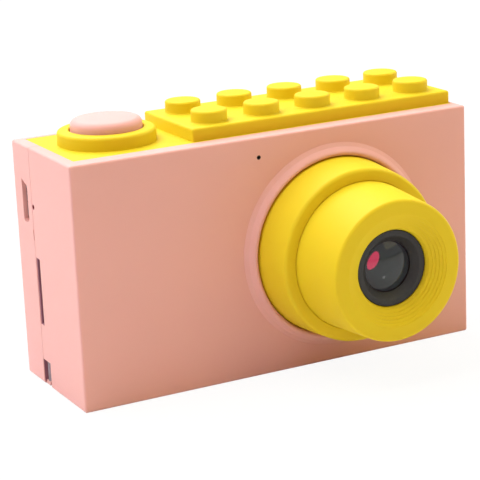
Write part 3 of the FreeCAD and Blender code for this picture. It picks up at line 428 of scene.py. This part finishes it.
def top_panel():
    """Base plate with the button's collar, and the raised brick plate with its two rows of studs."""
    left, right, near, far = -37.72, 39.12, -10.06, 12.02
    at_shutter = Matrix.Translation((*SHUTTER, 0))
    base = block("panel_base", (left, near, TOP - 1.4), (right, far, TOP), 0.12, 3)
    bore = lathe("bore", [
        (0, TOP - 3), (SEAT_BORE, TOP - 3), (SEAT_BORE, SEAT_TOP), (COLLAR_BORE, SEAT_TOP),
        (COLLAR_BORE, TOP + 4), (0, TOP + 4)], at_shutter)
    carve(base, [bore])
    plate = block("panel_plate", (-14.8, -9.66, TOP - 0.4), (right, 10.6, PLATE_TOP), 0.45, 5,
                  lambda middle: middle.z > TOP)
    collar = lathe("panel_collar", [
        (COLLAR_BORE, SEAT_TOP), (SEAT_BORE, SEAT_TOP), (SEAT_BORE, COLLAR_FOOT),
        (COLLAR_RADIUS, COLLAR_FOOT), (COLLAR_RADIUS, 46.58, 0.6), (COLLAR_BORE, 46.78, 0.25),
        (COLLAR_BORE, 45.6)], at_shutter)
    studs = []
    for column in range(5):
        for line in range(2):
            place = (FIRST_STUD[0] + STUD_PITCH * column, FIRST_STUD[1] + STUD_PITCH * line, PLATE_TOP)
            studs.append(lathe(f"stud_{column}_{line}", [
                (0, -0.3), (3.45, -0.3), (3.4, 0.02), (STUD_RADIUS, 0.14, 0.1),
                (STUD_RADIUS, STUD_TALL, 0.42), (0, STUD_TALL)], Matrix.Translation(place), 96, closed=False))
    skin = join("top_panel_skin", [base, plate, collar] + studs)
    return piece(skin, "camera", "yellow_plastic", ["top_panel"])


# ---------------------------------------------------------------- shutter button
def shutter_button():
    """A hollow cap with a flange that the seat holds down, and a barely domed top."""
    top = 48.6
    outside, hollow, flange = 6.44, 5.04, 7.5
    obj = lathe("shutter_cap", [
        (0, 40.4), (2.0, 40.4), (2.0, top - 1.4), (hollow, top - 1.4), (hollow, 43.9), (flange, 43.9),
        (flange, 44.7), (outside, 44.7), (outside, top - 0.12, 1.15), (4.0, top - 0.03), (0, top)],
        Matrix.Translation((*SHUTTER, 0)), closed=False)
    return piece(obj, "shutter", "pink_plastic", ["shutter_button"])


# ---------------------------------------------------------------- lens barrels
LIP_RADIUS, LIP_AT = 10.0, 34.9
STEP_WIDE, STEP_DEEP, RISER, STEP_COUNT = 0.54, 0.32, 0.15, 5
OUTER_FRONT = 22.9


def outer_barrel():
    outer = lathe("barrel_outer_skin", [
        (15.8, 10.0), (18.2, 10.0), (18.2, 11.6), (16.6, 11.6), (16.6, 13.5), (15.9, OUTER_FRONT, 0.75),
        (13.65, OUTER_FRONT, 0.14), (13.65, 12.1), (15.8, 12.1)], forward(), 256)
    piece(outer, "camera", "yellow_plastic", ["lens_barrel_outer"])


def inner_barrel():
    """The inner barrel's funnel goes down in fine rings from its lip to the lens head."""
    steps = []
    for count in range(STEP_COUNT):
        radius = LIP_RADIUS - STEP_WIDE * count
        depth = LIP_AT - STEP_DEEP * count
        steps += [(radius, depth, 0.05), (radius, depth - RISER, 0.03)]
    outside = [(11.4, 10.0), (15.6, 10.0), (15.6, 12.0), (13.6, 12.0), (13.6, OUTER_FRONT),
               (12.7, LIP_AT, 0.62)]
    throat = [(7.3, 33.3, 0.1), (6.95, 32.7, 0.1), (6.95, 31.0), (8.8, 31.0), (11.4, 32.6)]
    inner = lathe("barrel_inner_skin", outside + steps + throat, forward(), 256, sharp=30)
    piece(inner, "camera", "yellow_plastic", ["lens_barrel_inner"])


def lens_flare():
    """A soft raised ring on the front round the outer barrel: a quarter ellipse up, a slow wave down."""
    bore, crest, edge = 16.62, 17.25, 19.0
    root, start, crest_at, foot = 13.3, 13.9, 14.97, 13.49
    rise = []
    for count in range(8):
        turn = math.pi / 2 * count / 8
        rise.append((crest - (crest - bore) * math.cos(turn), start + (crest_at - start) * math.sin(turn)))
    fall = []
    for count in range(21):
        part = count / 20
        wave = 0.5 + 0.5 * math.cos(math.pi * part)
        fall.append((crest + (edge - crest) * part, foot + (crest_at - foot) * wave))
    flare = lathe("lens_flare", [(bore, root)] + rise + fall + [(edge, root)], forward(), 256, sharp=60)
    piece(flare, "camera", "pink_plastic")


def lens():
    """The black lens head and the domed front glass in it."""
    head_front, head_radius, seat = 32.6, 6.85, 4.6
    housing = lathe("lens_head", [
        (seat, 17.5), (6.0, 17.5), (6.0, 29.6), (head_radius, 29.6), (head_radius, head_front, 0.14),
        (5.8, head_front, 0.3), (5.1, 31.85, 0.2), (4.62, 31.3, 0.05), (seat, 28.0), (3.6, 28.0), (3.6, 27.4),
        (seat, 27.4)], forward(), 192)
    piece(housing, "camera", "black_plastic", ["lens_housing"])
    glass_radius, glass_back, glass_top, curvature, count = 4.55, 28.3, 31.9, 12, 12
    curve = []
    for step in range(count):
        radius = glass_radius * (1 - step / count)
        curve.append((radius, glass_top - curvature + math.sqrt(curvature * curvature - radius * radius)))
    profile = [(0, glass_back), (glass_radius, glass_back)] + curve + [(0, glass_top)]
    glass = lathe("front_glass", profile, forward(), 128, closed=False)
    return piece(glass, "camera", "lens_glass", ["front_lens"])


# ---------------------------------------------------------------- rear keys and display window
def prism(name, outline, low, high, soften=0.08):
    """A flat outline of (x, z) points made solid from y = low to y = high, its far rim softened."""
    made = bmesh.new()
    near = [made.verts.new((x, low, z)) for x, z in outline]
    far = [made.verts.new((x, high, z)) for x, z in outline]
    made.faces.new(near)
    top = made.faces.new(far[::-1])
    for index in range(len(outline)):
        nxt = (index + 1) % len(outline)
        made.faces.new((near[index], far[index], far[nxt], near[nxt]))
    bmesh.ops.recalc_face_normals(made, faces=made.faces)
    bmesh.ops.bevel(made, geom=list(top.edges), offset=soften, segments=2, profile=0.5, affect="EDGES")
    return finish_mesh(name, made)


def arrow(x, z, degrees, size=0.95):
    """Outline of a small arrowhead that points along an angle."""
    corners = [Vector((math.cos(math.radians(degrees + turn)), math.sin(math.radians(degrees + turn)))) * size
               for turn in (0, 120, 240)]
    points = []
    for index, corner in enumerate(corners):
        points += arc_corner(corners[index - 1], corner, corners[(index + 1) % 3], 0.16, 4)
    return [(x + point.x, z + point.y) for point in points]


def arc_band(x, z, radius, width, start, end, count=24):
    """Outline of a band along an arc, in degrees."""
    turns = [math.radians(start + (end - start) * step / count) for step in range(count + 1)]
    outer = [(x + (radius + width / 2) * math.cos(t), z + (radius + width / 2) * math.sin(t)) for t in turns]
    inner = [(x + (radius - width / 2) * math.cos(t), z + (radius - width / 2) * math.sin(t)) for t in turns]
    return outer + inner[::-1]


KEY_PITCH = 6.8
OK_KEY = (-27.5, 23.4)
MARK_FOOT, MARK_TOP = 13.8, 14.1
KEYS = {
    "key_power": (0, 2), "key_up": (0, 1), "key_ok": (0, 0), "key_down": (0, -1),
    "key_left": (-1, 0), "key_right": (1, 0),
}
ARROWS = {"key_up": 90, "key_down": 270, "key_left": 180, "key_right": 0}


def key_marks(name, x, z):
    """The raised sign of one key: an arrow, a ring on OK, or the usual power sign."""
    if name in ARROWS:
        outlines = {"": arrow(x, z, ARROWS[name])}
    elif name == "key_ok":
        outlines = {"_a": arc_band(x, z, 0.95, 0.34, 0, 180), "_b": arc_band(x, z, 0.95, 0.34, 180, 360)}
    else:
        bar = [(x - 0.15, z + 0.25), (x + 0.15, z + 0.25), (x + 0.15, z + 1.25), (x - 0.15, z + 1.25)]
        outlines = {"_a": arc_band(x, z, 0.95, 0.3, 125, 415), "_b": bar}
    return [prism(name + "_mark" + tail, outline, MARK_FOOT, MARK_TOP) for tail, outline in outlines.items()]


def keys():
    """Domed keys, each with its sign in a deeper pink."""
    for name, (across, up) in KEYS.items():
        x, z = OK_KEY[0] + KEY_PITCH * across, OK_KEY[1] + KEY_PITCH * up
        cap = lathe(name + "_cap", [
            (0, 9.5), (1.4, 9.5), (1.4, 10.75), (3.2, 10.75), (3.2, 11.55), (2.6, 11.55), (2.6, 13.86, 0.32),
            (1.9, 13.95, 0.5), (0, 13.99)], backward(x, z), 96, closed=False)
        piece(cap, name + "_body", "pink_plastic", [name])
        sign = join(name + "_sign", key_marks(name, x, z))
        piece(sign, name + "_body", "pink_plastic", material=MARK)


def opening_shades():
    """Painted shade inside the openings: the card socket's mouth, a real part given a painted shade colour,
    and dark linings that paint the shade on the walls of the others.
    """
    # The card socket's mouth: a real part, coloured with painted shade.
    mouth = block("card_mouth_shaded", (LEFT + 0.12, 3.42, 11.42), (LEFT + 1.75, 5.28, 24.08), 0.05, 1)
    carve(mouth, [block("card_gap", (LEFT - 1, 3.75, 11.7), (LEFT + 3, 4.9, 23.8), 0.02, 1)])
    piece(mouth, "camera", "black_plastic", material=OPENING_SHADE)
    # A dark sheet in the strap notch: painted shade on the notch's walls.
    notch_shade = block("strap_notch_shade", (LEFT + 0.15, 1.92, 0.25), (LEFT + 3.86, 5.58, 4.88), 0.05, 1)
    carve(notch_shade, [block("strap_room", (LEFT - 1, 2.08, -1.0), (LEFT + 3.74, 5.42, 4.72), 0.02, 1)])
    piece(notch_shade, "camera", "black_plastic", material=OPENING_SHADE)
    # A dark ring in the microphone hole: painted shade on its wall.
    ring = [(0.3, 11.8), (0.43, 11.8), (0.43, 13.44), (0.3, 13.44)]
    piece(lathe("mic_hole_shade_ring", ring, forward(-3.9, 40.6), 48), "camera", "black_plastic")
    # A dark red ring in the light's hole: painted shade on its wall.
    toward_left = Matrix.Translation((0, 4.74, 33.4)) @ Matrix.Rotation(math.radians(-90), 4, "Y")
    ring = [(0.34, 38.4), (0.53, 38.4), (0.53, 39.94), (0.34, 39.94)]
    piece(lathe("light_hole_shade_ring", ring, toward_left, 48), "camera", "light", material=LIGHT_HOLE_SHADE)


def display():
    cover = block("display_cover", (-13.9, 12.5, 4.2), (31.9, 13.45, 40.0), 0.22, 3,
                  lambda middle: middle.y > 12.9)
    piece(cover, "camera", "window", ["display_window"])


# ---------------------------------------------------------------- floor, light and camera
def stage():
    """White paper: it bounces light and shadow onto the object, and is seen almost evenly white."""
    material, tree, shader = new_material("floor_paper")
    grain = spread(tree, noise(tree, 40), 0, 1)
    tree.links.new(tint(tree, grain, (0.84, 0.84, 0.84), (0.86, 0.86, 0.86)), shader.inputs["Base Color"])
    shader.inputs["Roughness"].default_value = 0.9
    shader.inputs["Specular IOR Level"].default_value = 0.0
    glow = tree.nodes.new("ShaderNodeEmission")
    glow.inputs["Color"].default_value = (1, 1, 1, 1)
    glow.inputs["Strength"].default_value = 1.02
    lit = tree.nodes.new("ShaderNodeMixShader")
    lit.inputs[0].default_value = 0.9
    seen = tree.nodes.new("ShaderNodeLightPath")
    mix = tree.nodes.new("ShaderNodeMixShader")
    out = tree.nodes["Material Output"]
    tree.links.new(shader.outputs[0], lit.inputs[1])
    tree.links.new(glow.outputs[0], lit.inputs[2])
    tree.links.new(seen.outputs["Is Camera Ray"], mix.inputs[0])
    tree.links.new(shader.outputs[0], mix.inputs[1])
    tree.links.new(lit.outputs[0], mix.inputs[2])
    tree.links.new(mix.outputs[0], out.inputs["Surface"])
    mesh = bpy.data.meshes.new("floor")
    mesh.from_pydata([(-3, -3, 0), (3, -3, 0), (3, 3, 0), (-3, 3, 0)], [], [(0, 1, 2, 3)])
    floor = bpy.data.objects.new("floor", mesh)
    scene.collection.objects.link(floor)
    floor.data.materials.append(material)


def toward(azimuth, elevation):
    """A direction from the object: azimuth 0 is in front of the lens, 90 is its +X side."""
    turn, rise = math.radians(azimuth), math.radians(elevation)
    return Vector((math.sin(turn) * math.cos(rise), -math.cos(turn) * math.cos(rise), math.sin(rise)))


def area(name, aim, direction, distance, size, shape, watts):
    """An area light at a distance from the point it faces; watts are red, green and blue."""
    data = bpy.data.lights.new(name, "AREA")
    data.shape = shape
    data.size = size[0]
    if shape == "ELLIPSE":
        data.size_y = size[1]
    data.energy = max(watts)
    data.color = [part / data.energy for part in watts]
    obj = bpy.data.objects.new(name, data)
    obj.location = Vector(aim) + direction * distance
    obj.rotation_mode = "QUATERNION"
    obj.rotation_quaternion = (-direction).to_track_quat("-Z", "Y")
    scene.collection.objects.link(obj)
    return obj


NEUTRAL = (1.0, 1.0, 1.0)
COOL = (0.85, 0.85, 1.0)
WARM = (1.0, 0.85, 0.4)
RED = (1.0, 0.15, 0.1)

BOX_DISTANCE, BOX_SIZE = 0.8, 0.55

# Soft boxes round the object: azimuth, elevation, watts and tint.
SOFT_BOXES = {
    "top": (0, 90, 1.0, COOL),
    "top_back": (180, 50, 5.5, COOL),
    "left_high": (-90, 50, 2.5, NEUTRAL),
    "left_back": (-135, 30, 1.5, NEUTRAL),
    "left_top": (-90, 70, 3.0, NEUTRAL),
    "right": (90, 25, 2.5, NEUTRAL),
    "front_right": (45, 30, 1.0, WARM),
    "front_right_high": (40, 60, 1.5, WARM),
    "front_low": (-30, 12, 0.5, RED),
}


def lights():
    for name, (azimuth, elevation, power, tinting) in SOFT_BOXES.items():
        watts = [power * part for part in tinting]
        area(name + "_box", (0, 0, 0.02), toward(azimuth, elevation), BOX_DISTANCE, (BOX_SIZE, BOX_SIZE),
             "SQUARE", watts)
    scene.view_settings.view_transform = "Standard"
    scene.view_settings.look = "None"


def lens_glints(glass):
    """A red capsule and a small dot that only the front glass mirrors."""
    only_glass = bpy.data.collections.new("only_glass")
    only_glass.objects.link(glass)
    capsule = area("glint_capsule", (0.00845, -0.03143, 0.0238), toward(1.6, -1.5), 0.062, (0.020, 0.039),
                   "ELLIPSE", (0.034, 0.0010, 0.0045))
    capsule.rotation_quaternion = capsule.rotation_quaternion @ Quaternion((0, 0, 1), math.radians(-32))
    dot = area("glint_dot", (0.01016, -0.03174, 0.02048), toward(24.2, -30.9), 0.03, (0.003, 0.003),
               "ELLIPSE", (0.00006, 0.00006, 0.00006))
    for light in (capsule, dot):
        light.light_linking.receiver_collection = only_glass
        light.visible_camera = False


def studio_world():
    """White behind the floor, seen by the camera and in mirrored surfaces; it gives no other light."""
    world = bpy.data.worlds.new("studio")
    scene.world = world
    world.use_nodes = True
    tree = world.node_tree
    seen = tree.nodes.new("ShaderNodeLightPath")
    back = tree.nodes["Background"]
    back.inputs["Color"].default_value = (1, 1, 1, 1)
    either = tree.nodes.new("ShaderNodeMath")
    either.operation = "MAXIMUM"
    tree.links.new(seen.outputs["Is Camera Ray"], either.inputs[0])
    mirrored = tree.nodes.new("ShaderNodeMath")
    mirrored.operation = "MULTIPLY"
    mirrored.inputs[1].default_value = 0.8
    tree.links.new(seen.outputs["Is Glossy Ray"], mirrored.inputs[0])
    tree.links.new(mirrored.outputs[0], either.inputs[1])
    tree.links.new(either.outputs[0], back.inputs["Strength"])


def camera():
    data = bpy.data.cameras.new("photo_camera")
    data.sensor_width = 36
    data.lens = 139.6
    data.clip_start = 0.01
    data.clip_end = 10
    obj = bpy.data.objects.new("photo_camera", data)
    scene.collection.objects.link(obj)
    right = Vector((0.88435, -0.46486, -0.04270))
    up = Vector((0.16118, 0.21821, 0.96250))
    ahead = right.cross(up) * -1
    turn = Matrix((right, up, -ahead)).transposed().to_4x4()
    obj.matrix_world = Matrix.Translation((-0.15345, -0.29766, 0.11491)) @ turn
    scene.camera = obj


top_panel()
shutter_button()
outer_barrel()
inner_barrel()
lens_flare()
front_glass = lens()
keys()
display()
opening_shades()
stage()
studio_world()
lights()
lens_glints(front_glass)
camera()
